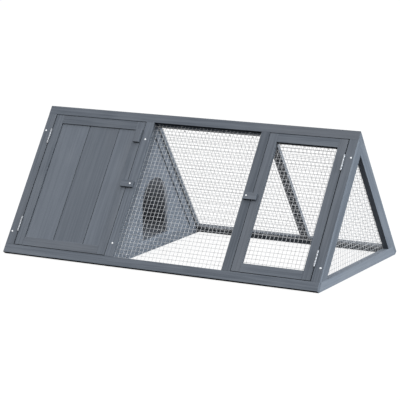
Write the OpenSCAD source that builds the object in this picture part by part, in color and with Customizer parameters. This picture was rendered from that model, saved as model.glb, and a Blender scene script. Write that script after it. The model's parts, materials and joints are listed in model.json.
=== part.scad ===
// Triangular rabbit hutch: two sloping panels on three triangular frames.
// The origin is on the ground under the middle of the ridge. +X runs along the ridge
// towards the open run, and -Y is the front with the two doors.

/* [Hutch] */
// Length along the ridge
length = 1180; // [1100:5:1250]
// Depth over the feet of the two sloping panels
depth = 640; // [600:5:700]
// Slope of the panels above the ground, in degrees
slope = 55.2; // [52:0.2:58]
// Thickness of the sloping panels and the doors
panel_t = 14; // [12:0.5:16]
// Width of the rails, posts, stiles and legs
rail_w = 31; // [28:1:34]
// Width of the rear panel's top rail
rear_top_w = 49; // [34:1:60]
// Distance from the left end to the middle of the divider frame
divider_at = 409; // [390:1:440]
// Distance from the left end to the middle of the post beside the mesh door
door_post_at = 847.5; // [820:0.5:870]

/* [Triangular frames] */
// Thickness of the triangular frames
frame_t = 20; // [16:1:24]
// Width of the arched doorway in the divider
doorway_w = 170; // [140:5:180]
// Height of the top of the arch above the ground
doorway_top = 248; // [230:1:260]
// Height of the doorway's sill above the divider's bottom rail
sill_h = 12; // [4:1:30]
// Thickness of the divider's panel
divider_t = 10; // [8:1:12]

/* [Boards] */
// Width of a board on the solid door and the rear wall
board_w = 117; // [100:1:125]
// How much is trimmed off the first board of a wall
board_trim = 4; // [0:1:12]
// Thickness of the boards
board_t = 8; // [6:0.5:9]
// How far the boards sit behind the face of their frame
board_recess = 4; // [2:0.5:5]
// Bevel along the long edges of each board
board_bevel = 1.5; // [0.5:0.5:2.5]
// Gap at the face between neighbouring tongued and grooved boards
board_gap = 1.2; // [0.4:0.1:2]
// Number of upright boards in the left end
end_boards_n = 5; // [3:2:7]
// Number of floor boards in the sleeping compartment
floor_boards_n = 5; // [4:1:7]
// Side of the square battens under the floor
batten_w = 15; // [12:1:20]

/* [Doors] */
// Gap along the hinged edge of a door
hinge_gap = 3.2; // [2.4:0.1:4]
// Gap along the other three edges of a door
door_gap = 1.8; // [1:0.1:3]
// Distance from the foot of the slope to the middle of the lower hinges
hinge_low = 107.5; // [100:0.5:140]
// Distance from the foot of the slope to the middle of the upper hinges
hinge_high = 443.5; // [400:0.5:460]
// Length of a hinge
hinge_len = 55; // [45:5:65]

/* [Turn buttons and pull] */
// Length of a turn button and of the pull block
button_l = 47; // [42:1:52]
// Width of a turn button and of the pull block
button_w = 24; // [20:1:26]
// Thickness of a turn button and of the pull block
button_t = 8; // [6:0.5:10]
// Distance from a button's near end to its pivot
button_pivot = 11; // [10:0.5:13]
// Distance up the slope to the pivots
button_at = 294.5; // [280:0.5:310]
// Distance up the slope to the lower end of the pull block
pull_at = 449.5; // [430:0.5:465]
// Distance from the door's free edge to the pull block
pull_inset = 0.5; // [0:0.5:3]

/* [Wire mesh] */
// Spacing of the welded wires
mesh_pitch = 14.3; // [12:0.1:20]
// Diameter of the wires
wire_d = 1.2; // [0.9:0.1:1.6]
// How far a mesh sheet laps over the back of its frame
mesh_lap = 10; // [7:0.5:12]
// Spacing of the staples along a mesh edge
staple_pitch = 92; // [60:1:140]

/* [Screws] */
// Distance up the slope to the lower panel screws
screw_low = 78; // [70:1:90]
// Distance up the slope to the upper panel screws
screw_high = 464.5; // [440:0.5:480]
// Radius of a screw's domed head
screw_head_r = 3.4; // [3:0.1:4.5]
// Radius of a screw's shank
screw_r = 2; // [1.5:0.1:2.5]

/* [Hidden] */

wood = [0.42, 0.45, 0.49];
board = [0.44, 0.47, 0.51];
steel = [0.78, 0.79, 0.80];
wire = [0.72, 0.73, 0.74];
small_fn = 32;
round_fn = 48;
large_fn = 96;
cut = 1;                                            // how far a cutter runs past what it cuts

// The sloping panels. Their feet are cut square to the slope.
slope_len = depth / 2 / cos(slope);
foot_z = panel_t * cos(slope);
inner_foot_y = depth / 2 - panel_t * sin(slope);
inner_apex_z = inner_foot_y * tan(slope);
top_rail_at = slope_len - rail_w;
rear_rail_at = slope_len - rear_top_w;
ridge_gap = 0.1;                                    // between the mitred faces of the top rails
left = -length / 2;
right = length / 2;

// The triangular frames lie against the backs of the panels.
leg_run = rail_w / sin(slope);                      // a leg's width measured along y
window_foot_y = inner_foot_y - leg_run - rail_w / tan(slope);
window_apex_z = inner_apex_z - rail_w / cos(slope);
left_frame_x = left;
divider_frame_x = left + divider_at - frame_t / 2;
right_frame_x = right - frame_t;
frame_xs = [left_frame_x, divider_frame_x, right_frame_x];

// Tongues on the edges of the door's and the rear wall's boards
tongue_t = board_t / 4;
tongue_l = 4;
tongue_play = 0.3;
butt_gap = 0.4;                                     // between boards that only butt together

// Places along the front panel
divider_post_x = left + divider_at - rail_w / 2;
door_post_x = left + door_post_at - rail_w / 2;
right_post_x = right - rail_w;
left_door_x0 = left + rail_w + hinge_gap;
left_door_x1 = divider_post_x - door_gap;
right_door_x0 = door_post_x + rail_w + door_gap;
right_door_x1 = right_post_x - hinge_gap;
door_s0 = rail_w + door_gap;
door_s1 = top_rail_at - door_gap;

// Butt hinges with their barrel proud of the panel's face
pin_r = 1.3;
pin_play = 0.05;
knuckle_r = 2.75;
pin_up = 3;                                         // height of the pin above the face
leaf_t = 1;
leaf_depth = 11;                                    // how far a leaf reaches below the face
leaf_top = -0.35;
leaf_tab_top = 1;                                   // where a tab ends in its knuckle's wall
knuckles = 5;
knuckle_gap = 0.2;
knuckle_pitch = hinge_len / knuckles;
hinge_screw_r = 1.1;
hinge_screw_head_r = 2.3;
hinge_screw_l = 15;
hinge_screw_at = 16;                                // from the middle of a leaf to each screw
hinge_head_t = 0.15;
pin_head_t = 0.8;
pin_head_r = 2;
left_pin_x = left + rail_w + hinge_gap / 2;
right_pin_x = right_post_x - hinge_gap / 2;
hinge_ss = [hinge_low, hinge_high];

// Screws and turn buttons
head_up = 1.5;
panel_screw_l = 38;
corner_screw_l = 55;
corner_screw_sink = 3;
corner_screw_y = inner_foot_y - rail_w / tan(slope) - 0.6 * leg_run;
button_lift = 0.3;
button_hole_play = 0.08;
button_head_up = 2;
pull_head_up = 1;
pull_screws_at = [button_l / 4, 3 * button_l / 4];  // from the lower end of the pull block
button_screw_l = 22;
corner_r = 1.5;
left_pivot_x = left + divider_at;
right_pivot_x = left + door_post_at;

// The mesh sheets are two layers of straight wires welded where they cross.
weld_gap = 0.02;
layer_1 = wire_d / 2 + weld_gap;
layer_2 = layer_1 + wire_d + weld_gap;
sheet_t = layer_2 + wire_d / 2;
staple_w = 7;
staple_t = 1.2;
side_play = 1;                                      // gap between a sheet and a frame beside it
top_lap = 8;                                        // how far a sheet laps over a top rail
sheet_s0 = rail_w - mesh_lap;
sheet_s1 = top_rail_at + top_lap;
rear_sheet_s1 = rear_rail_at + top_lap;
run_x0 = divider_frame_x + frame_t + side_play;
run_x1 = right_frame_x - side_play - sheet_t;
front_sheet_x1 = door_post_x + mesh_lap;
door_sheet_x0 = right_door_x0 + rail_w - mesh_lap;
door_sheet_x1 = right_door_x1 - rail_w + mesh_lap;
door_sheet_s0 = door_s0 + rail_w - mesh_lap;
door_sheet_s1 = door_s1 - rail_w + mesh_lap;

// Floor of the sleeping compartment
floor_x0 = left_frame_x + frame_t;
floor_y = inner_foot_y - rail_w / tan(slope) - side_play;

// The sheet of the right end is a triangle that laps over its frame on all three sides.
end_sheet_foot_y = window_foot_y + mesh_lap / sin(slope) + mesh_lap / tan(slope);
end_sheet_foot_z = rail_w - mesh_lap;
end_sheet_top_z = end_sheet_foot_z + end_sheet_foot_y * tan(slope);
end_columns = floor(end_sheet_foot_y / mesh_pitch - 1 / 2);
end_rows = floor((end_sheet_top_z - end_sheet_foot_z) / mesh_pitch) - 1;
end_staple_z = end_sheet_foot_z + mesh_pitch / 4;

// Local axes of the front panel: x along the ridge, y up the slope, z out of its face
module on_front() {
  translate([0, -depth / 2, foot_z]) rotate([slope, 0, 0]) children();
}

module on_rear() {
  mirror([0, 1, 0]) on_front() children();
}

// A plate whose outline is drawn in y and z, with its lower x face at x0
module upright_plate(outline, x0, t) {
  translate([x0, 0, 0]) rotate([90, 0, 90]) linear_extrude(t) polygon(outline);
}

// A straight bar on a panel: x0 to x1 along the ridge and s0 to s1 up the slope
module panel_bar(x0, x1, s0, s1) {
  translate([x0, s0, -panel_t]) cube([x1 - x0, s1 - s0, panel_t]);
}

// The top rail is cut upright at the ridge so that the two panels meet in a mitre.
module ridge_rail(foot_s) {
  mitre = panel_t * tan(slope);
  top = slope_len - ridge_gap / 2 / cos(slope);
  outline = [[foot_s, -panel_t], [top - mitre, -panel_t], [top, 0], [foot_s, 0]];
  translate([left, 0, 0]) rotate([90, 0, 90]) linear_extrude(length) polygon(outline);
}

// One board with bevelled long edges, from x0 to x1, standing on z = 0 and facing +z. It can
// have a groove along its lower x edge and a tongue along the other.
module bevelled_board(x0, x1, s0, s1, grooved, tongued) {
  b = board_bevel;
  a0 = x0 + board_gap / 2;
  a1 = x1 - board_gap / 2;
  mid = (board_t - b) / 2;
  reach = board_gap + tongue_l;
  half = tongue_t / 2;
  slot = half + tongue_play;
  deep = tongue_l + tongue_play;
  tongue = [[a1, mid - half], [a1 + reach, mid - half], [a1 + reach, mid + half], [a1, mid + half]];
  groove = [[a0, mid + slot], [a0 + deep, mid + slot], [a0 + deep, mid - slot], [a0, mid - slot]];
  outline = concat(
    [[a0, 0], [a1, 0]], tongued ? tongue : [],
    [[a1, board_t - b], [a1 - b, board_t], [a0 + b, board_t], [a0, board_t - b]],
    grooved ? groove : []
  );
  translate([0, s1, 0]) rotate([90, 0, 0]) linear_extrude(s1 - s0) polygon(outline);
}

// Boards side by side across an opening. The last one takes up what is left.
module board_row(x0, x1, s0, s1) {
  narrowest = board_w / 3;
  joints = [for (x = x0 + board_w - board_trim; x < x1 - narrowest; x = x + board_w) x];
  edges = concat([x0], joints, [x1]);
  last = len(edges) - 2;
  translate([0, 0, -board_recess - board_t])
    for (i = [0:last])
      bevelled_board(edges[i], edges[i + 1], s0, s1, i > 0, i < last);
}

module domed_screw(shank_l, head_r = screw_head_r, shank_r = screw_r, up = head_up) {
  dome_r = (head_r * head_r + up * up) / (2 * up);
  intersection() {
    translate([0, 0, up - dome_r]) sphere(r = dome_r, $fn = large_fn);
    cylinder(h = up + cut, r = head_r, $fn = round_fn);
  }
  translate([0, 0, -shank_l]) cylinder(h = shank_l, r = shank_r, $fn = round_fn);
}

// A leg of a triangular frame at the front: it stands on the bottom rail and is mitred at the top.
module front_leg(x0) {
  outline = [
    [-inner_foot_y + rail_w / tan(slope), rail_w], [0, inner_apex_z],
    [0, window_apex_z], [-window_foot_y, rail_w]
  ];
  upright_plate(outline, x0, frame_t);
}

module rear_leg(x0) {
  mirror([0, 1, 0]) front_leg(x0);
}

module frame_bottom_rail(x0) {
  top_y = inner_foot_y - rail_w / tan(slope);
  outline = [[-inner_foot_y, 0], [inner_foot_y, 0], [top_y, rail_w], [-top_y, rail_w]];
  upright_plate(outline, x0, frame_t);
}

// Height of the window's sloping edge at a distance y from the middle
function window_z(y) = window_apex_z - abs(y) * tan(slope);

// Wires along x at each s, then wires along s at each x, lying under z = 0
module mesh_sheet(x0, x1, s0, s1) {
  nx = floor((x1 - x0) / mesh_pitch);
  ns = floor((s1 - s0) / mesh_pitch);
  first_x = (x0 + x1 - nx * mesh_pitch) / 2;
  first_s = (s0 + s1 - ns * mesh_pitch) / 2;
  for (i = [0:nx])
    translate([first_x + i * mesh_pitch, s1, -layer_1]) rotate([90, 0, 0])
      cylinder(h = s1 - s0, d = wire_d, $fn = round_fn);
  for (j = [0:ns])
    translate([x0, first_s + j * mesh_pitch, -layer_2]) rotate([0, 90, 0])
      cylinder(h = x1 - x0, d = wire_d, $fn = round_fn);
}

// A staple bridging a wire: its crown lies on the sheet and its points stop at the wood
module staple() {
  gap_w = staple_w - 2 * staple_t;
  translate([0, staple_t / 2, -sheet_t - weld_gap]) rotate([90, 0, 0]) linear_extrude(staple_t)
    polygon([
      [-staple_w / 2, -staple_t], [staple_w / 2, -staple_t], [staple_w / 2, sheet_t],
      [gap_w / 2, sheet_t], [gap_w / 2, 0], [-gap_w / 2, 0], [-gap_w / 2, sheet_t],
      [-staple_w / 2, sheet_t]
    ]);
}

// Staples between the wires, along both long edges of a sheet
module staple_rows(x0, x1, s0, s1) {
  nx = floor((x1 - x0) / mesh_pitch);
  ns = floor((s1 - s0) / mesh_pitch);
  first_x = (x0 + x1 - nx * mesh_pitch) / 2;
  first_s = (s0 + s1 - ns * mesh_pitch) / 2;
  every = max(1, round(staple_pitch / mesh_pitch));
  for (i = [1:every:nx], j = [0, ns - 1])
    translate([first_x + i * mesh_pitch, first_s + (j + 1 / 2) * mesh_pitch, 0]) staple();
}

// One hinge in the panel's axes, about its pin. The fixed leaf is on the -x side.
module hinge_leaf(side, first_knuckle) {
  face_x = side * hinge_gap / 2;
  x0 = side < 0 ? face_x : face_x - leaf_t;
  difference() {
    union() {
      translate([x0, -hinge_len / 2, -pin_up - leaf_depth])
        cube([leaf_t, hinge_len, leaf_depth + leaf_top]);
      for (k = [first_knuckle:2:knuckles - 1])
        translate([0, -hinge_len / 2 + k * knuckle_pitch + knuckle_gap / 2, 0]) {
          translate([0, knuckle_pitch - knuckle_gap, 0]) rotate([90, 0, 0])
            cylinder(h = knuckle_pitch - knuckle_gap, r = knuckle_r, $fn = round_fn);
          translate([x0, 0, -pin_up + leaf_top - cut])
            cube([leaf_t, knuckle_pitch - knuckle_gap, leaf_tab_top - leaf_top + cut]);
        }
    }
    translate([0, hinge_len / 2 + cut, 0]) rotate([90, 0, 0])
      cylinder(h = hinge_len + 2 * cut, r = pin_r + pin_play, $fn = round_fn);
    for (e = [-1, 1])
      translate([face_x, e * hinge_screw_at, -pin_up - leaf_depth / 2]) rotate([0, -side * 90, 0])
        translate([0, 0, -cut])
          cylinder(h = leaf_t + 2 * cut, r = hinge_screw_r + pin_play, $fn = round_fn);
  }
}

// Countersunk-style screws that hold a leaf to the edge of the wood
module hinge_leaf_screws(side) {
  face_x = side * hinge_gap / 2;
  for (e = [-1, 1])
    translate([face_x, e * hinge_screw_at, -pin_up - leaf_depth / 2]) rotate([0, -side * 90, 0]) {
      translate([0, 0, -hinge_screw_l])
        cylinder(h = hinge_screw_l + leaf_t, r = hinge_screw_r, $fn = round_fn);
      translate([0, 0, leaf_t]) cylinder(h = hinge_head_t, r = hinge_screw_head_r, $fn = round_fn);
    }
}

module hinge_pin() {
  translate([0, hinge_len / 2 + pin_head_t, 0]) rotate([90, 0, 0]) {
    cylinder(h = hinge_len + 2 * pin_head_t, r = pin_r, $fn = round_fn);
    cylinder(h = pin_head_t, r = pin_head_r, $fn = round_fn);
  }
}

module at_hinges(pin_x) {
  on_front() for (s = hinge_ss) translate([pin_x, s, pin_up]) children();
}

// A wooden button lying along +x from its pivot, with eased corners
module wooden_button(pivot_hole) {
  difference() {
    translate([corner_r - button_pivot, corner_r - button_w / 2, 0])
      linear_extrude(button_t) {
        for (x = [0, button_l - 2 * corner_r], y = [0, button_w - 2 * corner_r])
          translate([x, y]) circle(r = corner_r, $fn = small_fn);
        translate([-corner_r, 0]) square([button_l, button_w - 2 * corner_r]);
        translate([0, -corner_r]) square([button_l - 2 * corner_r, button_w]);
      }
    if (pivot_hole)
      translate([0, 0, -cut])
        cylinder(h = button_t + 2 * cut, r = screw_r + button_hole_play, $fn = round_fn);
  }
}

// Front panel
module front_bottom_rail() { color(wood) on_front() panel_bar(left, right, 0, rail_w); }
module front_top_rail() { color(wood) on_front() ridge_rail(top_rail_at); }
module front_left_post() {
  color(wood) on_front() panel_bar(left, left + rail_w, rail_w, top_rail_at);
}
module front_divider_post() {
  color(wood) on_front() panel_bar(divider_post_x, divider_post_x + rail_w, rail_w, top_rail_at);
}
module front_door_post() {
  color(wood) on_front() panel_bar(door_post_x, door_post_x + rail_w, rail_w, top_rail_at);
}
module front_right_post() {
  color(wood) on_front() panel_bar(right_post_x, right, rail_w, top_rail_at);
}

// Rear panel
module rear_bottom_rail() { color(wood) on_rear() panel_bar(left, right, 0, rail_w); }
module rear_top_rail() { color(wood) on_rear() ridge_rail(rear_rail_at); }
module rear_left_post() {
  color(wood) on_rear() panel_bar(left, left + rail_w, rail_w, rear_rail_at);
}
module rear_divider_post() {
  color(wood) on_rear() panel_bar(divider_post_x, divider_post_x + rail_w, rail_w, rear_rail_at);
}
module rear_middle_post() {
  color(wood) on_rear() panel_bar(door_post_x, door_post_x + rail_w, rail_w, rear_rail_at);
}
module rear_right_post() {
  color(wood) on_rear() panel_bar(right_post_x, right, rail_w, rear_rail_at);
}
module rear_wall_boards() {
  color(board) on_rear() board_row(left + rail_w, divider_post_x, rail_w, rear_rail_at);
}

// Triangular frames
module left_end_front_leg() { color(wood) front_leg(left_frame_x); }
module left_end_rear_leg() { color(wood) rear_leg(left_frame_x); }
module left_end_bottom_rail() { color(wood) frame_bottom_rail(left_frame_x); }
module left_end_boards() {
  w = 2 * window_foot_y / end_boards_n;
  color(board)
    for (i = [0:end_boards_n - 1]) {
      y0 = -window_foot_y + i * w + butt_gap / 2;
      y1 = y0 + w - butt_gap;
      peak = y0 < 0 && y1 > 0 ? [[0, window_apex_z]] : [];
      foot = [[y0, rail_w], [y1, rail_w]];
      top = concat([[y1, max(rail_w, window_z(y1))]], peak, [[y0, max(rail_w, window_z(y0))]]);
      upright_plate(concat(foot, top), left_frame_x + board_recess, board_t);
    }
}
module divider_front_leg() { color(wood) front_leg(divider_frame_x); }
module divider_rear_leg() { color(wood) rear_leg(divider_frame_x); }
module divider_bottom_rail() { color(wood) frame_bottom_rail(divider_frame_x); }
module divider_panel() {
  r = doorway_w / 2;
  x0 = divider_frame_x + frame_t - board_recess - divider_t;
  color(board) difference() {
    upright_plate([[-window_foot_y, rail_w], [window_foot_y, rail_w], [0, window_apex_z]],
                  x0, divider_t);
    translate([x0 - cut, -r, rail_w + sill_h])
      cube([divider_t + 2 * cut, doorway_w, doorway_top - r - rail_w - sill_h]);
    translate([x0 - cut, 0, doorway_top - r]) rotate([0, 90, 0])
      cylinder(h = divider_t + 2 * cut, r = r, $fn = large_fn);
  }
}

// Floor of the sleeping compartment, flush with the bottom rails, on a batten at each end
module floor_boards() {
  w = 2 * floor_y / floor_boards_n;
  color(board)
    for (i = [0:floor_boards_n - 1])
      translate([floor_x0 + butt_gap, -floor_y + i * w + butt_gap / 2, rail_w - board_t])
        cube([divider_frame_x - floor_x0 - 2 * butt_gap, w - butt_gap, board_t]);
}
module floor_battens() {
  color(wood)
    for (x = [floor_x0, divider_frame_x - batten_w])
      translate([x, -floor_y, rail_w - board_t - batten_w]) cube([batten_w, 2 * floor_y, batten_w]);
}

module right_end_front_leg() { color(wood) front_leg(right_frame_x); }
module right_end_rear_leg() { color(wood) rear_leg(right_frame_x); }
module right_end_bottom_rail() { color(wood) frame_bottom_rail(right_frame_x); }

// Mesh sheets, stapled to the backs of the frames
module front_mesh() {
  color(wire) on_front() translate([0, 0, -panel_t])
    mesh_sheet(run_x0, front_sheet_x1, sheet_s0, sheet_s1);
}
module rear_mesh() {
  color(wire) on_rear() translate([0, 0, -panel_t])
    mesh_sheet(run_x0, run_x1, sheet_s0, rear_sheet_s1);
}

// Half width of the end sheet at a height, and the height of its edge at a distance y
function end_sheet_y(z) = (end_sheet_top_z - z) / tan(slope);
function end_sheet_z(y) = end_sheet_top_z - abs(y) * tan(slope);

module right_end_mesh() {
  color(wire) {
    for (i = [-end_columns:end_columns])
      translate([right_frame_x - layer_1, i * mesh_pitch, end_sheet_foot_z])
        cylinder(h = end_sheet_z(i * mesh_pitch) - end_sheet_foot_z, d = wire_d, $fn = round_fn);
    for (j = [0:end_rows]) {
      z = end_sheet_foot_z + (j + 1 / 2) * mesh_pitch;
      translate([right_frame_x - layer_2, -end_sheet_y(z), z]) rotate([-90, 0, 0])
        cylinder(h = 2 * end_sheet_y(z), d = wire_d, $fn = round_fn);
    }
  }
}
module mesh_staples() {
  columns = floor(window_foot_y / mesh_pitch);
  every = max(1, round(staple_pitch / mesh_pitch));
  color(steel) {
    on_front() translate([0, 0, -panel_t])
      staple_rows(run_x0, front_sheet_x1, sheet_s0, sheet_s1);
    on_rear() translate([0, 0, -panel_t])
      staple_rows(run_x0, run_x1, sheet_s0, rear_sheet_s1);
    for (i = [-columns:every:columns])
      translate([right_frame_x, i * mesh_pitch, end_staple_z])
        rotate([90, 0, 90]) staple();
  }
}

// Screws through the panels into the legs, and up through the bottom rails into the legs
module panel_screw_set() {
  for (x = frame_xs, s = [screw_low, screw_high])
    translate([x + frame_t / 2, s, 0]) domed_screw(panel_screw_l);
}
module panel_screws() {
  color(steel) {
    on_front() panel_screw_set();
    on_rear() panel_screw_set();
  }
}
module frame_corner_screws() {
  color(steel)
    for (x = frame_xs, e = [-1, 1])
      translate([x + frame_t / 2, e * corner_screw_y, corner_screw_sink])
        cylinder(h = corner_screw_l, r = screw_r, $fn = round_fn);
}

// Hinges
module left_hinge_frame_leaves() { color(steel) at_hinges(left_pin_x) hinge_leaf(-1, 0); }
module hinge_frame_screws() {
  color(steel) {
    at_hinges(left_pin_x) hinge_leaf_screws(-1);
    at_hinges(right_pin_x) hinge_leaf_screws(1);
  }
}
module left_hinge_door_leaves() { color(steel) at_hinges(left_pin_x) hinge_leaf(1, 1); }
module left_hinge_door_screws() { color(steel) at_hinges(left_pin_x) hinge_leaf_screws(1); }
module left_hinge_pins() { color(steel) at_hinges(left_pin_x) hinge_pin(); }
module right_hinge_frame_leaves() { color(steel) at_hinges(right_pin_x) hinge_leaf(1, 0); }
module right_hinge_door_leaves() { color(steel) at_hinges(right_pin_x) hinge_leaf(-1, 1); }
module right_hinge_door_screws() { color(steel) at_hinges(right_pin_x) hinge_leaf_screws(-1); }
module right_hinge_pins() { color(steel) at_hinges(right_pin_x) hinge_pin(); }

// Solid door
module left_door_hinge_stile() {
  color(wood) on_front() panel_bar(left_door_x0, left_door_x0 + rail_w, door_s0, door_s1);
}
module left_door_latch_stile() {
  color(wood) on_front() panel_bar(left_door_x1 - rail_w, left_door_x1, door_s0, door_s1);
}
module left_door_top_rail() {
  color(wood) on_front()
    panel_bar(left_door_x0 + rail_w, left_door_x1 - rail_w, door_s1 - rail_w, door_s1);
}
module left_door_bottom_rail() {
  color(wood) on_front()
    panel_bar(left_door_x0 + rail_w, left_door_x1 - rail_w, door_s0, door_s0 + rail_w);
}
module left_door_boards() {
  color(board) on_front()
    board_row(left_door_x0 + rail_w, left_door_x1 - rail_w, door_s0 + rail_w, door_s1 - rail_w);
}
module left_door_pull() {
  color(wood) on_front()
    translate([left_door_x1 - button_w / 2 - pull_inset, pull_at + button_pivot, 0])
      rotate([0, 0, 90]) wooden_button(false);
}
module left_door_pull_screws() {
  length_in = panel_t + button_t - 2 * pull_head_up;
  color(steel) on_front()
    for (s = pull_screws_at)
      translate([left_door_x1 - button_w / 2 - pull_inset, pull_at + s, -panel_t])
        mirror([0, 0, 1]) domed_screw(length_in, up = pull_head_up);
}

// Mesh door
module right_door_latch_stile() {
  color(wood) on_front() panel_bar(right_door_x0, right_door_x0 + rail_w, door_s0, door_s1);
}
module right_door_hinge_stile() {
  color(wood) on_front() panel_bar(right_door_x1 - rail_w, right_door_x1, door_s0, door_s1);
}
module right_door_top_rail() {
  color(wood) on_front()
    panel_bar(right_door_x0 + rail_w, right_door_x1 - rail_w, door_s1 - rail_w, door_s1);
}
module right_door_bottom_rail() {
  color(wood) on_front()
    panel_bar(right_door_x0 + rail_w, right_door_x1 - rail_w, door_s0, door_s0 + rail_w);
}
module right_door_mesh() {
  color(wire) on_front() translate([0, 0, -panel_t])
    mesh_sheet(door_sheet_x0, door_sheet_x1, door_sheet_s0, door_sheet_s1);
}
module right_door_mesh_staples() {
  color(steel) on_front() translate([0, 0, -panel_t])
    staple_rows(door_sheet_x0, door_sheet_x1, door_sheet_s0, door_sheet_s1);
}

// Turn buttons, each on one screw in the middle of its post
module left_turn_button() {
  color(wood) on_front()
    translate([left_pivot_x, button_at, button_lift]) rotate([0, 0, 180]) wooden_button(true);
}
module right_turn_button() {
  color(wood) on_front()
    translate([right_pivot_x, button_at, button_lift]) wooden_button(true);
}
module button_screws() {
  color(steel) on_front()
    for (x = [left_pivot_x, right_pivot_x])
      translate([x, button_at, 2 * button_lift + button_t])
        domed_screw(button_screw_l, up = button_head_up);
}

front_bottom_rail();
front_top_rail();
front_left_post();
front_divider_post();
front_door_post();
front_right_post();
rear_bottom_rail();
rear_top_rail();
rear_left_post();
rear_divider_post();
rear_middle_post();
rear_right_post();
rear_wall_boards();
left_end_front_leg();
left_end_rear_leg();
left_end_bottom_rail();
left_end_boards();
divider_front_leg();
divider_rear_leg();
divider_bottom_rail();
divider_panel();
floor_boards();
floor_battens();
right_end_front_leg();
right_end_rear_leg();
right_end_bottom_rail();
front_mesh();
rear_mesh();
right_end_mesh();
mesh_staples();
panel_screws();
frame_corner_screws();
left_hinge_frame_leaves();
right_hinge_frame_leaves();
hinge_frame_screws();
button_screws();
left_door_hinge_stile();
left_door_latch_stile();
left_door_top_rail();
left_door_bottom_rail();
left_door_boards();
left_door_pull();
left_door_pull_screws();
left_hinge_door_leaves();
left_hinge_pins();
left_hinge_door_screws();
right_door_latch_stile();
right_door_hinge_stile();
right_door_top_rail();
right_door_bottom_rail();
right_door_mesh();
right_door_mesh_staples();
right_hinge_door_leaves();
right_hinge_pins();
right_hinge_door_screws();
left_turn_button();
right_turn_button();
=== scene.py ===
"""Looks of a triangular rabbit hutch: stained wood, welded wire mesh, zinc-plated hinges and screws.

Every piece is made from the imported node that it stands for, so it has that node's place and size.
"""

import json
import math
import random

import bmesh
import bpy
from mathutils import Matrix, Vector, noise

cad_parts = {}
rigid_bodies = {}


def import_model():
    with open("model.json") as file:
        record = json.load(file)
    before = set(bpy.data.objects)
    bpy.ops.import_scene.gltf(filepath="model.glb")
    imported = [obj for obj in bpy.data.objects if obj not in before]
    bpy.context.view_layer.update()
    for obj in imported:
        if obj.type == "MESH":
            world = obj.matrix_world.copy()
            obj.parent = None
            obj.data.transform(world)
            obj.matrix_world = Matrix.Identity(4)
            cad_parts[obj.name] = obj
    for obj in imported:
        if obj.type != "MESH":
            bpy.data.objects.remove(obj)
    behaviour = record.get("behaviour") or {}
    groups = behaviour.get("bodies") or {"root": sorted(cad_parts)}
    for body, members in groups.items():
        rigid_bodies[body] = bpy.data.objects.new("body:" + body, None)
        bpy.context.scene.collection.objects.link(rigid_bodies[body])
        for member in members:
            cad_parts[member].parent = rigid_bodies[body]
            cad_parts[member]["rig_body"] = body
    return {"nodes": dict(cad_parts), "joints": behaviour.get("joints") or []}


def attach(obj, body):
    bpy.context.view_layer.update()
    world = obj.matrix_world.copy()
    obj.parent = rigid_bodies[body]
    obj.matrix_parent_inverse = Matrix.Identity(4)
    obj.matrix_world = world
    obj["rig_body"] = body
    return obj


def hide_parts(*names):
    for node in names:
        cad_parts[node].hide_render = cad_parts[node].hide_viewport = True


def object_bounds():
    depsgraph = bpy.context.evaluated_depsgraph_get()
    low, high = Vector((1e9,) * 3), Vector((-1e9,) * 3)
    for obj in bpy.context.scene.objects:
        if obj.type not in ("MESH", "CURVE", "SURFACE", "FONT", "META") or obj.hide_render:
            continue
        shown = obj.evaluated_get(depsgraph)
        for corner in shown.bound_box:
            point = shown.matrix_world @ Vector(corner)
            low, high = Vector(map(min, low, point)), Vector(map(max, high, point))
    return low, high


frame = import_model()
cad_lo, cad_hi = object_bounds()
MM = 0.001
TAU = 2 * math.pi

# ---------------------------------------------------------------- axes of the two sloping panels
X = Vector((1, 0, 0))
Y = Vector((0, 1, 0))
Z = Vector((0, 0, 1))
FRONT_OUT = Vector(next(j for j in frame["joints"] if j["name"] == "left_button_turn")["axis"])
FRONT_UP = FRONT_OUT.cross(X)
REAR_OUT = Vector((0, -FRONT_OUT.y, FRONT_OUT.z))
REAR_UP = Vector((0, -FRONT_UP.y, FRONT_UP.z))
TAN_SLOPE = FRONT_UP.z / FRONT_UP.y


# ---------------------------------------------------------------- material helpers
def new_material(name):
    """A material with only its Principled shader, and that shader."""
    m = bpy.data.materials.new(name)
    m.use_nodes = True
    return m, m.node_tree.nodes["Principled BSDF"]


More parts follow.
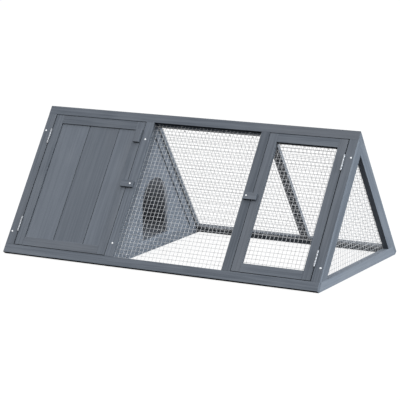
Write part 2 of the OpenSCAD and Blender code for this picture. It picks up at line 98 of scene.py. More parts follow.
class Tree:
    """Short calls that add nodes to a node tree and join them."""

    def __init__(self, tree):
        self.tree = tree

    def add(self, kind, inputs=None, **settings):
        node = self.tree.nodes.new(kind)
        for key, value in settings.items():
            setattr(node, key, value)
        for key, value in (inputs or {}).items():
            self.put(node.inputs[key], value)
        return node

    def put(self, socket, value):
        if isinstance(value, bpy.types.NodeSocket):
            self.tree.links.new(value, socket)
        else:
            socket.default_value = value

    def math(self, operation, *values):
        inputs = dict(enumerate(values))
        return self.add("ShaderNodeMath", inputs, operation=operation).outputs[0]

    def dot(self, a, b):
        node = self.add("ShaderNodeVectorMath", {0: a, 1: b}, operation="DOT_PRODUCT")
        return node.outputs["Value"]

    def vector(self, x, y, z):
        return self.add("ShaderNodeCombineXYZ", {0: x, 1: y, 2: z}).outputs[0]

    def stretched(self, vector, factors):
        """The vector with each of its parts times its own factor."""
        node = self.add("ShaderNodeVectorMath", {0: vector, 1: factors}, operation="MULTIPLY")
        return node.outputs[0]

    def scaled(self, vector, factor):
        """The vector, or colour, times one number."""
        node = self.add("ShaderNodeVectorMath", {0: vector, "Scale": factor}, operation="SCALE")
        return node.outputs[0]

    def noise(self, vector, scale, detail=2.0, roughness=0.5, distortion=0.0):
        inputs = {
            "Vector": vector, "Scale": scale, "Detail": detail,
            "Roughness": roughness, "Distortion": distortion,
        }
        return self.add("ShaderNodeTexNoise", inputs).outputs[0]

    def fit(self, value, low, high, to_low=0.0, to_high=1.0):
        """A smooth step from to_low, where value is low, to to_high, where it is high."""
        inputs = {
            "Value": value, "From Min": low, "From Max": high, "To Min": to_low, "To Max": to_high,
        }
        return self.add("ShaderNodeMapRange", inputs, interpolation_type="SMOOTHSTEP").outputs[0]

    def mix(self, share, a, b):
        """Colour a, with a share of colour b."""
        node = self.add("ShaderNodeMix", data_type="RGBA", blend_type="MIX")
        colour_a, colour_b, mixed = node.inputs[6], node.inputs[7], node.outputs[2]
        self.put(node.inputs["Factor"], share)
        for socket, value in ((colour_a, a), (colour_b, b)):
            self.put(socket, value if isinstance(value, bpy.types.NodeSocket) else (*value, 1.0))
        return mixed

    def bump(self, height, strength, distance):
        inputs = {"Height": height, "Strength": strength, "Distance": distance}
        return self.add("ShaderNodeBump", inputs).outputs[0]


# ---------------------------------------------------------------- stained wood
STAINS = {
    "base": (0.137, 0.154, 0.181),
    "deep": (0.096, 0.110, 0.132),
    "thin": (0.172, 0.189, 0.215),
    "warm": (0.150, 0.157, 0.172),
    "worn": (0.225, 0.236, 0.254),
    "end": (0.078, 0.089, 0.108),
}
WOOD_GLOSS = 0.14
UNDERSIDE_PAINTED_SHADE = 0.85  # how far a face that looks down takes the dark colour


def wood_space(t, place, grain, seed, island):
    """Places in the wood: along its fibres, across and through them. seed sets the stretch used."""
    side = X if abs(grain.dot(X)) < 0.5 else Y
    along = t.math("ADD", t.dot(place, grain), seed * 1.7)
    across = t.math("ADD", t.dot(place, side), seed * 0.31)
    through = t.dot(place, grain.cross(side))
    if island is not None:
        along = t.math("MULTIPLY_ADD", island, 9.0, along)
    return t.vector(along, across, through)


def wood_noise(t, fibres, along, across, detail, roughness=0.5, distortion=0.0):
    """Noise with so many waves in a metre along the fibres, and across them."""
    return t.noise(t.stretched(fibres, (along, across, across)), 1.0, detail, roughness, distortion)


def stain_colour(t, fibres, figure, streak, tints, contrast, worn):
    """The stain on the long faces. It lies darker in the rings and streaks, and thinner in blotches."""
    blotch = wood_noise(t, fibres, 4.5, 13.0, 3.0, 0.55)
    patch = wood_noise(t, fibres, 1.6, 5.0, 2.0)
    colour = t.mix(t.fit(figure, 0.38, 0.64, 0.0, contrast), tints["base"], tints["deep"])
    colour = t.mix(t.fit(streak, 0.48, 0.74, 0.0, 0.6 * contrast), colour, tints["deep"])
    colour = t.mix(t.fit(blotch, 0.42, 0.75, 0.0, 0.45), colour, tints["thin"])
    colour = t.mix(t.fit(patch, 0.48, 0.70, 0.0, 0.35), colour, tints["warm"])
    if worn:
        rubbed = wood_noise(t, fibres, 28.0, 90.0, 3.0, 0.7)
        colour = t.mix(t.fit(rubbed, 0.46, 0.62, 0.0, 0.4), colour, tints["worn"])
    return colour


def with_end_grain(t, colour, fibres, facing_end, tints):
    """The colour, with dark rings on the faces that cut across the fibres."""
    rings = t.noise(t.stretched(fibres, (0.0, 260.0, 420.0)), 1.0, 3.0, 0.6, 0.4)
    end_colour = t.mix(t.fit(rings, 0.4, 0.62), tints["end"], tints["base"])
    end = t.fit(t.math("ABSOLUTE", facing_end), 0.75, 0.9)
    return t.mix(t.math("MULTIPLY", end, 0.6), colour, end_colour)


def stained_wood(name, grain, seed, tone, worn=False, boards=False):
    """Wood under a thin blue-grey stain. grain is the way its fibres run, and tone how light it is."""
    m, shader = new_material(name)
    t = Tree(m.node_tree)
    tints = {key: tuple(c * tone for c in colour) for key, colour in STAINS.items()}
    coords = t.add("ShaderNodeTexCoord")
    place, normal = coords.outputs["Object"], coords.outputs["Normal"]
    island = t.add("ShaderNodeNewGeometry").outputs["Random Per Island"] if boards else None
    fibres = wood_space(t, place, grain, seed, island)

    # The rings wander more where sway is high. Boards are cut with wider rings and less contrast.
    sway = wood_noise(t, fibres, 3.0, 9.0, 1.0)
    wander = t.fit(sway, 0.3, 0.7, 0.2, 1.1)
    rings_in_metre = 110.0 if boards else 170.0
    figure = wood_noise(t, fibres, 2.6, rings_in_metre, 4.0, 0.66, wander)
    streak = wood_noise(t, fibres, 9.0, 700.0, 3.0, 0.65)
    pores = wood_noise(t, fibres, 45.0, 2400.0, 1.0)

    colour = stain_colour(t, fibres, figure, streak, tints, 0.42 if boards else 1.0, worn)
    colour = with_end_grain(t, colour, fibres, t.dot(normal, grain), tints)
    # Painted shade: faces that look down are darkened towards a dark colour and lose their gloss, as if
    # in the shade under the wood.
    under = t.fit(t.dot(normal, Z), -0.80, -0.55, UNDERSIDE_PAINTED_SHADE, 0.0)
    colour = t.mix(under, colour, tuple(c * 0.4 for c in tints["end"]))
    if boards:
        colour = t.scaled(colour, t.fit(island, 0.0, 1.0, 0.93, 1.06))
    t.put(shader.inputs["Base Color"], colour)
    t.put(shader.inputs["Roughness"], t.fit(figure, 0.3, 0.7, 0.66, 0.80))
    # The painted shade on faces that look down also takes their gloss away.
    t.put(shader.inputs["Specular IOR Level"], t.fit(under, 0.0, UNDERSIDE_PAINTED_SHADE, WOOD_GLOSS, 0.0))

    relief = t.math("MULTIPLY_ADD", streak, 0.6, t.math("MULTIPLY", figure, 0.4))
    relief = t.math("MULTIPLY_ADD", pores, 0.25, relief)
    t.put(shader.inputs["Normal"], t.bump(relief, 0.45, 0.35 * MM))
    return m


# ---------------------------------------------------------------- metals
DULL_SHARE = 0.736  # how light the cloudy patches of zinc are, against the rest


def zinc(name, colour, roughness, waves_in_metre):
    """Zinc-plated steel with faint cloudiness and a fine unevenness."""
    m, shader = new_material(name)
    t = Tree(m.node_tree)
    place = t.add("ShaderNodeTexCoord").outputs["Object"]
    cloud = t.noise(place, waves_in_metre, 3.0, 0.6)
    fine = t.noise(place, waves_in_metre * 9, 2.0)
    dull = tuple(c * DULL_SHARE for c in colour)
    base = t.mix(t.fit(cloud, 0.4, 0.66), colour, dull)
    t.put(shader.inputs["Base Color"], base)
    shader.inputs["Metallic"].default_value = 1.0
    t.put(shader.inputs["Roughness"], t.fit(cloud, 0.3, 0.7, roughness - 0.07, roughness + 0.1))
    t.put(shader.inputs["Normal"], t.bump(fine, 0.25, 0.04 * MM))
    return m


WIRE_ZINC = zinc("galvanised_wire", (0.51, 0.515, 0.525), 0.60, 120.0)
HINGE_ZINC = zinc("plated_hinge", (0.37, 0.38, 0.40), 0.48, 160.0)
SCREW_ZINC = zinc("plated_screw", (0.86, 0.87, 0.88), 0.26, 300.0)
STAPLE_ZINC = zinc("galvanised_staple", (0.34, 0.345, 0.355), 0.50, 260.0)


# ---------------------------------------------------------------- mesh helpers
def finished(name, mesh, node, slot, *materials):
    """Puts a mesh in the scene as the piece that replaces a node and moves with the node's body."""
    for m in materials:
        mesh.materials.append(m)
    piece = bpy.data.objects.new(name, mesh)
    bpy.context.scene.collection.objects.link(piece)
    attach(piece, frame["nodes"][node]["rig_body"])
    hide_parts(node)


DOUBLE_GAP = 0.002 * MM
FLAT_ANGLE = math.radians(0.4)


def welded(node):
    """The node's mesh with its doubled vertices joined and its flat faces whole again."""
    bm = bmesh.new()
    bm.from_mesh(frame["nodes"][node].data)
    for f in bm.faces:
        f.material_index = 0
    bmesh.ops.remove_doubles(bm, verts=bm.verts, dist=DOUBLE_GAP)
    bmesh.ops.dissolve_limit(bm, angle_limit=FLAT_ANGLE, verts=bm.verts, edges=bm.edges)
    return bm


def islands(bm):
    """Lists of joined vertices, one for each separate solid, in a steady order."""
    seen, groups = set(), []
    for first in bm.verts:
        if first in seen:
            continue
        group, waiting = [], [first]
        seen.add(first)
        while waiting:
            v = waiting.pop()
            group.append(v.co.copy())
            for e in v.link_edges:
                other = e.other_vert(v)
                if other not in seen:
                    seen.add(other)
                    waiting.append(other)
        groups.append(group)
    return groups


KEEN_SHARE = 0.25  # how much of the usual rounding an acute edge gets
# How many degrees the surface turns by at an edge inside a curved face, at a sharp and at a keen edge.
CURVED = (0.573, 20)
SHARP = (25, 110)
KEEN = (110, 180)


def eased(node, width, segments=2):
    """The node's mesh with its sharp edges rounded. Rounded faces take material 1."""
    bm = welded(node)
    for f in bm.faces:
        turns = [math.degrees(e.calc_face_angle(0.0)) for e in f.edges]
        f.smooth = any(CURVED[0] < turn < CURVED[1] for turn in turns)
    # A keen edge is rounded first and less, so that a thin edge keeps its place.
    for (low, high), offset in ((KEEN, width * KEEN_SHARE), (SHARP, width)):
        sharp = [
            e for e in bm.edges
            if len(e.link_faces) == 2 and low < math.degrees(e.calc_face_angle(0.0)) <= high
            and not any(f.material_index for f in e.link_faces)
        ]
        made = bmesh.ops.bevel(
            bm, geom=sharp, offset=offset, offset_type="OFFSET", segments=segments, profile=0.5,
            affect="EDGES", clamp_overlap=True, material=1,
        )
        for f in made["faces"]:
            f.smooth = True
    mesh = bpy.data.meshes.new(node + "_eased")
    bm.to_mesh(mesh)
    bm.free()
    return mesh


# ---------------------------------------------------------------- wood pieces
FRONT_POSTS = ["front_left_post", "front_divider_post", "front_door_post", "front_right_post"]
REAR_POSTS = ["rear_left_post", "rear_divider_post", "rear_middle_post", "rear_right_post"]
DOOR_STILES = [
    "left_door_hinge_stile", "left_door_latch_stile", "right_door_latch_stile",
    "right_door_hinge_stile",
]
RAILS = [
    "front_bottom_rail", "front_top_rail", "rear_bottom_rail", "rear_top_rail", "left_door_top_rail",
    "left_door_bottom_rail", "right_door_top_rail", "right_door_bottom_rail",
]
BUTTONS = ["left_turn_button", "right_turn_button"]
FRAMES = ["left_end", "divider", "right_end"]
WOOD = (
    [(n, FRONT_UP) for n in FRONT_POSTS + DOOR_STILES + ["left_door_pull"]]
    + [(n, REAR_UP) for n in REAR_POSTS]
    + [(n, X) for n in RAILS + BUTTONS]
    + [(f + "_front_leg", FRONT_UP) for f in FRAMES]
    + [(f + "_rear_leg", REAR_UP) for f in FRAMES]
    + [(f + "_bottom_rail", Y) for f in FRAMES]
    + [("floor_battens", Y)]
)
BOARDS = [
    ("left_door_boards", FRONT_UP, "stained_boards"), ("rear_wall_boards", REAR_UP, "stained_boards"),
    ("left_end_boards", Z, "stained_boards"), ("divider_panel", Z, "stained_boards"),
    ("floor_boards", X, "floor_wood"),
]
EDGE = 0.8 * MM
BOARD_EDGE = 0.35 * MM
# How light each piece is against the common stain. The divider's values, and those of the rear wall and
# floor boards in the dark sleeping compartment, are also painted light that makes up for dim light.
TONES_AND_PAINTED_LIGHT = {
    "right_end_bottom_rail": 1.18, "right_end_front_leg": 0.90, "right_end_rear_leg": 0.97,
    "left_door_boards": 1.04, "divider_panel": 1.68, "divider_rear_leg": 1.5,
    "divider_front_leg": 1.3, "divider_bottom_rail": 1.5,
    "front_door_post": 0.86, "front_divider_post": 1.12, "front_left_post": 0.96,
    "front_top_rail": 0.98, "front_bottom_rail": 1.03, "left_door_top_rail": 0.92,
    "right_door_top_rail": 1.02, "rear_bottom_rail": 1.05, "rear_middle_post": 1.1,
    "rear_wall_boards": 1.15, "floor_boards": 1.2,
    "left_turn_button": 1.05, "right_turn_button": 1.1, "left_door_pull": 1.02,
}


def wood_piece(node, grain, slot, seed, edge, boards=False):
    """A wood piece, with rubbed stain on its rounded edges."""
    tone = TONES_AND_PAINTED_LIGHT.get(node, 1.0)
    finished(
        node + "_wood", eased(node, edge), node, slot,
        stained_wood(node + "_stain", grain, seed, tone, boards=boards),
        stained_wood(node + "_rubbed", grain, seed, tone, worn=True, boards=boards),
    )


def make_wood():
    for seed, (node, grain) in enumerate(WOOD, 1):
        wood_piece(node, grain, "stained_frame", seed, EDGE)
    for seed, (node, grain, slot) in enumerate(BOARDS, 50):
        wood_piece(node, grain, slot, seed, BOARD_EDGE, boards=True)


# ---------------------------------------------------------------- welded wire mesh
WIRE_R = 0.6 * MM
WIRE_SIDES = 8
SINK = 0.1 * MM  # how far each wire is pressed into the one it crosses
LAP = 10 * MM  # how far a sheet lies on the wood round its opening
BULGE = 0.6 * MM  # how far a sheet strays from flat
STRAY = 0.2 * MM  # how far a wire strays from its line
STRAY_SIZE = 0.11  # length of the waves in a sheet
WAVE_SEED = 3  # without a seed, Blender takes the clock's and each run has other waves
EASE_IN = 40 * MM  # how far from the wood a sheet is free to stray
NUGGET = Vector((0.98, 0.98, 0.66)) * MM  # half sizes of a weld's bead
NUGGET_SIDES = 6


def wire_lines(node, a, b, out):
    """The wires along a, then those along b, as (place on the other axis, place on out, start, end)."""
    bm = welded(node)
    along_a, along_b = [], []
    for group in islands(bm):
        spans = [(min(v.dot(d) for v in group), max(v.dot(d) for v in group)) for d in (a, b, out)]
        (a0, a1), (b0, b1), (n0, n1) = spans
        if a1 - a0 > b1 - b0:
            along_a.append(((b0 + b1) / 2, (n0 + n1) / 2, a0, a1))
        else:
            along_b.append(((a0 + a1) / 2, (n0 + n1) / 2, b0, b1))
    bm.free()
    return sorted(along_a), sorted(along_b)


def tube(verts, faces, points, side_1, side_2):
    """Adds a closed round wire through points."""
    first = len(verts)
    angles = [TAU * k / WIRE_SIDES for k in range(WIRE_SIDES)]
    ring = [(math.cos(angle), math.sin(angle)) for angle in angles]
    for p in points:
        verts += [p + side_1 * (WIRE_R * c) + side_2 * (WIRE_R * s) for c, s in ring]
    for i in range(len(points) - 1):
        low = first + i * WIRE_SIDES
        for k in range(WIRE_SIDES):
            n = (k + 1) % WIRE_SIDES
            faces.append((low + k, low + n, low + WIRE_SIDES + n, low + WIRE_SIDES + k))
    last = first + (len(points) - 1) * WIRE_SIDES
    faces.append(tuple(reversed(range(first, first + WIRE_SIDES))))
    faces.append(tuple(range(last, last + WIRE_SIDES)))


def nugget(verts, faces, centre, a, b, out):
    """Adds the flattened bead of a weld."""
    first = len(verts)
    verts.append(centre - out * NUGGET.z)
    for height in (-0.5, 0.5):
        reach = math.sqrt(1 - height * height)
        for k in range(NUGGET_SIDES):
            angle = TAU * k / NUGGET_SIDES
            along_a = a * (NUGGET.x * reach * math.cos(angle))
            along_b = b * (NUGGET.y * reach * math.sin(angle))
            verts.append(centre + along_a + along_b + out * (NUGGET.z * height))
    verts.append(centre + out * NUGGET.z)
    top = len(verts) - 1
    low, high = first + 1, first + 1 + NUGGET_SIDES
    for k in range(NUGGET_SIDES):
        n = (k + 1) % NUGGET_SIDES
        faces.append((first, low + n, low + k))
        faces.append((low + k, low + n, high + n, high + k))
        faces.append((high + k, high + n, top))


def wire_sheet(node, a, b, out, clearance, seed):
    """A sheet of welded mesh. clearance(a, b) is how far a place is from the wood that holds it."""
    along_a, along_b = wire_lines(node, a, b, out)
    middle = (along_a[0][1] + along_b[0][1]) / 2

    def stray(pa, pb):
        share = min(1.0, max(0.0, clearance(pa, pb) / EASE_IN))
        share = share * share * (3 - 2 * share)
        wave = noise.noise_vector(Vector((pa / STRAY_SIZE, pb / STRAY_SIZE, seed)))
        return (a * wave.x + b * wave.y) * (STRAY * share) + out * (wave.z * BULGE * share)

    def level(n):
        return n + (SINK if n < middle else -SINK)

    verts, faces = [], []
    for pos, n, start, end in along_a:
        crossings = [q for q, _, lo, hi in along_b if lo <= pos <= hi]
        tube(verts, faces, [
            a * q + b * pos + out * level(n) + stray(q, pos) for q in stations(start, end, crossings)
        ], b, out)
    for pos, n, start, end in along_b:
        crossings = [q for q, _, lo, hi in along_a if lo <= pos <= hi]
        tube(verts, faces, [
            a * pos + b * q + out * level(n) + stray(pos, q) for q in stations(start, end, crossings)
        ], out, a)
    for pos_b, _, start_a, end_a in along_a:
        for pos_a, _, start_b, end_b in along_b:
            if start_a < pos_a < end_a and start_b < pos_b < end_b:
                centre = a * pos_a + b * pos_b + out * middle + stray(pos_a, pos_b)
                nugget(verts, faces, centre, a, b, out)
    mesh = bpy.data.meshes.new(node + "_wires")
    mesh.from_pydata(verts, [], faces)
    mesh.shade_smooth()
    finished(node + "_wires", mesh, node, "mesh_wire", WIRE_ZINC)


def stations(start, end, crossings):
    """Places along a wire: its ends, each crossing, and halfway between crossings."""
    places = [start, *sorted(q for q in crossings if start < q < end), end]
    halves = [(p + q) / 2 for p, q in zip(places, places[1:])]
    return sorted(set(places + halves))


def span(node, axis):
    """Lowest and highest place of a node along an axis."""
    values = [v.co.dot(axis) for v in frame["nodes"][node].data.vertices]
    return min(values), max(values)


def panel_clearance(node, up, post=None):
    """Distance from the wood round a sheet on a sloping panel, and from a post that crosses it."""
    x0, x1 = span(node, X)
    s0, s1 = span(node, up)
    post_x = span(post, X) if post else None

    def clearance(x, s):
        room = min(x - x0, x1 - x, s - s0, s1 - s) - LAP
        if post_x:
            room = min(room, max(post_x[0] - x, x - post_x[1]))
        return room

    return clearance


def end_clearance(node):
    """Distance from the wood round the triangular sheet."""
    z0, top = span(node, Z)
    cos_slope = FRONT_UP.y

    def clearance(y, z):
        return min(z - z0, (top - z - abs(y) * TAN_SLOPE) * cos_slope) - LAP

    return clearance


def make_wire_sheets():
    """The four sheets. The number at the end gives each one its own waves."""
    noise.seed_set(WAVE_SEED)
    front_room = panel_clearance("front_mesh", FRONT_UP)
    rear_room = panel_clearance("rear_mesh", REAR_UP, "rear_middle_post")
    door_room = panel_clearance("right_door_mesh", FRONT_UP)
    wire_sheet("front_mesh", X, FRONT_UP, FRONT_OUT, front_room, 1.5)
    wire_sheet("rear_mesh", X, REAR_UP, REAR_OUT, rear_room, 4.5)
    wire_sheet("right_door_mesh", X, FRONT_UP, FRONT_OUT, door_room, 7.5)
    wire_sheet("right_end_mesh", Y, Z, X, end_clearance("right_end_mesh"), 10.5)


# ---------------------------------------------------------------- hinges and staples
LEAF_EDGE = 0.15 * MM
PIN_EDGE = 0.35 * MM
STAPLE_EDGE = 0.3 * MM


def metal_piece(node, slot, material, edge, segments=2):
    """A metal piece. Its rounded edges have the same material as its faces."""
    finished(node + "_metal", eased(node, edge, segments), node, slot, material, material)


def make_pressed_metal():
    for side in ("left", "right"):
        for part in ("frame_leaves", "door_leaves"):
            metal_piece(f"{side}_hinge_{part}", "hinge_steel", HINGE_ZINC, LEAF_EDGE)
        metal_piece(side + "_hinge_pins", "hinge_steel", HINGE_ZINC, PIN_EDGE, 3)
    for node in ("mesh_staples", "right_door_mesh_staples"):
        metal_piece(node, "staple_steel", STAPLE_ZINC, STAPLE_EDGE)


# ---------------------------------------------------------------- screws
THREAD_PITCH = 1.8 * MM
THREAD_DEPTH = 0.4 * MM
THREAD_SIDES = 12
THREAD_ROWS = 4
HEAD_SIDES = 40
HEAD_RINGS = 7
WOOD_HEAD_R = 3.4 * MM
WOOD_SHANK_R = 2.0 * MM
LEAF_HEAD_R = 2.3 * MM
LEAF_SHANK_R = 1.1 * MM
SCREW_SHARP = math.radians(32)


def revolve(bm, profile, sides):
    """A closed solid of revolution about Z. The profile runs from the axis to the axis."""
    rings = []
    for r, z in profile:
        if r == 0:
            rings.append([bm.verts.new((0, 0, z))])
        else:
            rings.append([
                bm.verts.new((r * math.cos(TAU * k / sides), r * math.sin(TAU * k / sides), z))
                for k in range(sides)
            ])
    for low, high in zip(rings, rings[1:]):
        for k in range(sides):
            n = (k + 1) % sides
            corners = [low[k % len(low)], low[n % len(low)], high[n % len(high)], high[k % len(high)]]
            bm.faces.new(list(dict.fromkeys(corners)))


def head_blank(head_r, up, rim):
    """A screw head without its recess: a flat rim from z = 0, with a dome on it that ends at z = up."""
    bm = bmesh.new()
    profile = [(0, 0), (head_r * 0.96, 0), (head_r, rim * 0.3), (head_r, rim)]
    for i in range(1, HEAD_RINGS):
        turn = i / HEAD_RINGS * math.pi / 2
        profile.append((head_r * math.cos(turn), rim + (up - rim) * math.sin(turn)))
    profile.append((0, up))
    revolve(bm, profile, HEAD_SIDES)
    bmesh.ops.recalc_face_normals(bm, faces=bm.faces)
    head = bpy.data.meshes.new("head")
    bm.to_mesh(head)
    bm.free()
    return head


def cross_cutter(head_r, up):
    """The shape of a cross recess: two crossed bars that narrow towards their foot."""
    bm = bmesh.new()
    wing, web, deep = head_r * 0.56, head_r * 0.12, head_r * 0.55
    foot_wing, foot_web = wing * 0.35, web * 0.7
    for turn in (0, math.pi / 2):
        corners = bmesh.ops.create_cube(bm, size=1.0)["verts"]
        for v in corners:
            high = v.co.z > 0
            half_x, half_y = (wing, web) if high else (foot_wing, foot_web)
            z = up + 0.1 * MM if high else up - deep
            v.co = Vector((v.co.x * 2 * half_x, v.co.y * 2 * half_y, z))
        bmesh.ops.rotate(bm, verts=corners, cent=(0, 0, 0), matrix=Matrix.Rotation(turn, 3, "Z"))
    cross = bpy.data.meshes.new("cross")
    bm.to_mesh(cross)
    bm.free()
    return cross


def head_with_cross(head_r, up, rim):
    """A screw head with a cross recess cut into it."""
    meshes = (head_blank(head_r, up, rim), cross_cutter(head_r, up))
    blank, tool = (bpy.data.objects.new(m.name, m) for m in meshes)
    for o in (blank, tool):
        bpy.context.scene.collection.objects.link(o)
    cut = blank.modifiers.new("cross", "BOOLEAN")
    cut.object, cut.operation, cut.solver, cut.use_self = tool, "DIFFERENCE", "EXACT", True
    bpy.context.view_layer.update()
    depsgraph = bpy.context.evaluated_depsgraph_get()
    result = bpy.data.meshes.new_from_object(blank.evaluated_get(depsgraph))
    for o in (blank, tool):
        bpy.data.objects.remove(o)
    return result


def add_shank(bm, radius, length):
    """A threaded shank below z = 0 that ends in a point."""
    core = radius - THREAD_DEPTH
    rows = max(2, round(length / THREAD_PITCH * THREAD_ROWS))
    rings = []
    for i in range(rows + 1):
        depth = length * i / rows
        taper = min(1.0, max(0.12, (length - depth) / (2.5 * radius)))
        ring = []
        for k in range(THREAD_SIDES):
            phase = (depth / THREAD_PITCH + k / THREAD_SIDES) % 1.0
            crest = max(0.0, 1 - abs(phase - 0.5) * 4)
            r = (core + THREAD_DEPTH * crest) * taper
            angle = TAU * k / THREAD_SIDES
            ring.append(bm.verts.new((r * math.cos(angle), r * math.sin(angle), -depth)))
        rings.append(ring)
    for low, high in zip(rings, rings[1:]):
        for k in range(THREAD_SIDES):
            n = (k + 1) % THREAD_SIDES
            bm.faces.new((low[k], low[n], high[n], high[k]))
    bm.faces.new(list(reversed(rings[0])))
    bm.faces.new(rings[-1])


def screw_mesh(head_r, up, rim, shank_r, length):
    """A screw along Z, seated at z = 0. With head_r 0 it is a bare shank."""
    bm = bmesh.new()
    add_shank(bm, shank_r, length)
    if head_r:
        bm.from_mesh(head_with_cross(head_r, up, rim))
    bmesh.ops.recalc_face_normals(bm, faces=bm.faces)
    mesh = bpy.data.meshes.new("screw")
    bm.to_mesh(mesh)
    bm.free()
    return mesh


def outward(point):
    """The way out of the sloping panel that a point belongs to."""
    return FRONT_OUT if point.y < 0 else REAR_OUT


def inward(point):
    return -outward(point)


def screw_places(node, out, up):
    """Seat, axis and length of the screw that each solid of a node stands for."""
    bm = welded(node)
    places = []
    for group in islands(bm):
        middle = sum(group, Vector()) / len(group)
        axis = out(middle)
        top = max(v.dot(axis) for v in group)
        low = min(v.dot(axis) for v in group)
        # The middle of the box across the axis gives its place, whatever the vertices' spread.
        side_1 = axis.orthogonal().normalized()
        side_2 = axis.cross(side_1)
        centre = Vector()
        for d in (side_1, side_2):
            values = [v.dot(d) for v in group]
            centre += d * (min(values) + max(values)) / 2
        places.append((centre + axis * (top - up), axis, top - up - low))
    bm.free()
    return places


def make_screws(node, out, head_r, up, rim, shank_r):
    """Screws at each solid of a node. out(point) is the direction that the head there faces.

    up is how far the head stands above its seat, and rim is how high its flat edge is.
    """
    whole = bmesh.new()
    rng = random.Random(node)
    for seat, axis, length in screw_places(node, out, up):
        one = screw_mesh(head_r, up, rim, shank_r, length)
        turn = Matrix.Rotation(rng.uniform(0, math.pi / 2), 4, "Z")
        tilt = axis.to_track_quat("Z", "Y").to_matrix().to_4x4()
        one.transform(Matrix.Translation(seat) @ tilt @ turn)
        whole.from_mesh(one)
        bpy.data.meshes.remove(one)
    mesh = bpy.data.meshes.new(node + "_metal")
    whole.to_mesh(mesh)
    whole.free()
    mesh.shade_smooth()
    mesh.set_sharp_from_angle(angle=SCREW_SHARP)
    finished(node + "_metal", mesh, node, "screw_steel", SCREW_ZINC)


def hinge_screw_out(point):
    """A leaf's screws face its pin, which is in the gap beside them."""
    pins = [sum(span(side + "_hinge_pins", X)) / 2 for side in ("left", "right")]
    pin = min(pins, key=lambda x: abs(x - point.x))
    return X if pin > point.x else -X


def make_all_screws():
    make_screws("panel_screws", outward, WOOD_HEAD_R, 1.5 * MM, 0.3 * MM, WOOD_SHANK_R)
    make_screws("button_screws", outward, WOOD_HEAD_R, 2.0 * MM, 0.4 * MM, WOOD_SHANK_R)
    make_screws("left_door_pull_screws", inward, WOOD_HEAD_R, 1.0 * MM, 0.2 * MM, WOOD_SHANK_R)
    make_screws("frame_corner_screws", lambda point: -Z, 0, 0, 0, WOOD_SHANK_R)
    for node in ("hinge_frame_screws", "left_hinge_door_screws", "right_hinge_door_screws"):
        make_screws(node, hinge_screw_out, LEAF_HEAD_R, 0.15 * MM, 0.08 * MM, LEAF_SHANK_R)


# ---------------------------------------------------------------- floor, light and camera
FLOOR_HALF = 40.0
FLOOR_COLOUR = (0.10, 0.098, 0.096, 1.0)
FLOOR_GLOW = 0.90
SKY_DIM, SKY_BRIGHT = 0.05, 1.36  # the room's light from below, and from above
SKY_FROM, SKY_TO = -0.12, 0.6  # heights between which it changes, from -1 below to 1 above


def make_floor():
    """A wide floor that gives off most of its own light, so that it is white with almost no shadow."""
    mesh = bpy.data.meshes.new("floor")
    corners = [(-FLOOR_HALF, -FLOOR_HALF), (FLOOR_HALF, -FLOOR_HALF)]
    corners += [(-x, -y) for x, y in corners]
    mesh.from_pydata([(x, y, cad_lo.z) for x, y in corners], [], [(0, 1, 2, 3)])
    m, shader = new_material("pale_floor")
    shader.inputs["Base Color"].default_value = FLOOR_COLOUR
    shader.inputs["Emission Color"].default_value = (1.0, 1.0, 1.0, 1.0)
    shader.inputs["Emission Strength"].default_value = FLOOR_GLOW
    shader.inputs["Roughness"].default_value = 0.9
    shader.inputs["Specular IOR Level"].default_value = 0.0
    m.cycles.emission_sampling = "NONE"
    mesh.materials.append(m)
    floor = bpy.data.objects.new("floor", mesh)
    bpy.context.scene.collection.objects.link(floor)
    floor.visible_diffuse = False


def make_world():
    """A bright room, dimmer from below, seen as plain white."""
    world = bpy.data.worlds.new("studio")
    bpy.context.scene.world = world
    world.use_nodes = True
    t = Tree(world.node_tree)
    way = t.add("ShaderNodeTexCoord").outputs["Generated"]
    height = t.add("ShaderNodeSeparateXYZ", {0: way}).outputs["Z"]
    strength = t.fit(height, SKY_FROM, SKY_TO, SKY_DIM, SKY_BRIGHT)
    light = world.node_tree.nodes["Background"]
    light.inputs["Color"].default_value = (0.97, 0.985, 1.0, 1.0)
    t.put(light.inputs["Strength"], strength)
    seen = t.add("ShaderNodeBackground", {"Color": (1, 1, 1, 1), "Strength": 1.0})
    camera_ray = t.add("ShaderNodeLightPath").outputs["Is Camera Ray"]
    both = t.add("ShaderNodeMixShader", {0: camera_ray, 1: light.outputs[0], 2: seen.outputs[0]})
    world.node_tree.links.new(both.outputs[0], world.node_tree.nodes["World Output"].inputs["Surface"])


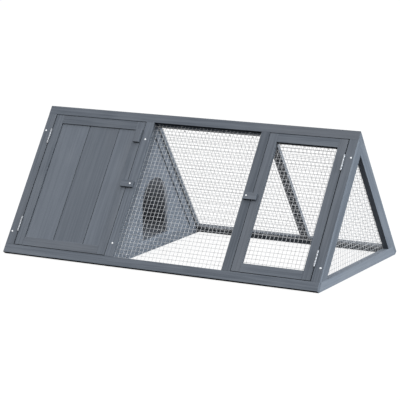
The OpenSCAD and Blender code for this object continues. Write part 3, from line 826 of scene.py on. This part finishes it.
def softbox(name, place, target, size, power, colour):
    """A square light that shines from a place towards a target."""
    data = bpy.data.lights.new(name, "AREA")
    data.shape, data.size, data.energy, data.color = "SQUARE", size, power, colour
    lamp = bpy.data.objects.new(name, data)
    lamp.location = place
    lamp.rotation_euler = (Vector(target) - Vector(place)).to_track_quat("-Z", "Y").to_euler()
    lamp.visible_camera = False
    bpy.context.scene.collection.objects.link(lamp)


def make_lights():
    """Two studio lights, and a weak one in the sleeping compartment that shows its inside."""
    centre = (cad_lo + cad_hi) / 2
    softbox(
        "right_softbox", place=(4.2, 0.9, 1.3), target=centre, size=2.6, power=225,
        colour=(0.88, 0.95, 1.0),
    )
    softbox(
        "front_softbox", place=(-2.6, -3.4, 4.4), target=centre, size=2.2, power=60,
        colour=(1.0, 0.99, 0.97),
    )
    softbox(
        "sleeping_fill", place=(-0.22, -0.02, 0.26), target=(-0.45, 0.16, 0.22), size=0.12,
        power=0.42, colour=(1.0, 0.97, 0.94),
    )


CAMERA_AZIMUTH = math.radians(28.49)
CAMERA_ELEVATION = math.radians(11.26)
CAMERA_DISTANCE = 6.336
CAMERA_TARGET = Vector((0.001, 0.0, 0.187))
CAMERA_LENS = 168.12
SENSOR = 36.0


def make_camera():
    """A camera where the photograph's was. Azimuth 0 is straight in front of the doors."""
    data = bpy.data.cameras.new("camera")
    data.sensor_width, data.lens = SENSOR, CAMERA_LENS
    data.clip_start, data.clip_end = 0.05, 200.0
    camera = bpy.data.objects.new("camera", data)
    level = math.cos(CAMERA_ELEVATION)
    back_x = math.sin(CAMERA_AZIMUTH) * level
    back_y = -math.cos(CAMERA_AZIMUTH) * level
    back = Vector((back_x, back_y, math.sin(CAMERA_ELEVATION)))
    camera.location = CAMERA_TARGET + back * CAMERA_DISTANCE
    camera.rotation_euler = (-back).to_track_quat("-Z", "Y").to_euler()
    bpy.context.scene.collection.objects.link(camera)
    bpy.context.scene.camera = camera


make_camera()
make_wood()
make_wire_sheets()
make_pressed_metal()
make_all_screws()
make_floor()
make_world()
make_lights()
bpy.context.scene.view_settings.view_transform = "Standard"
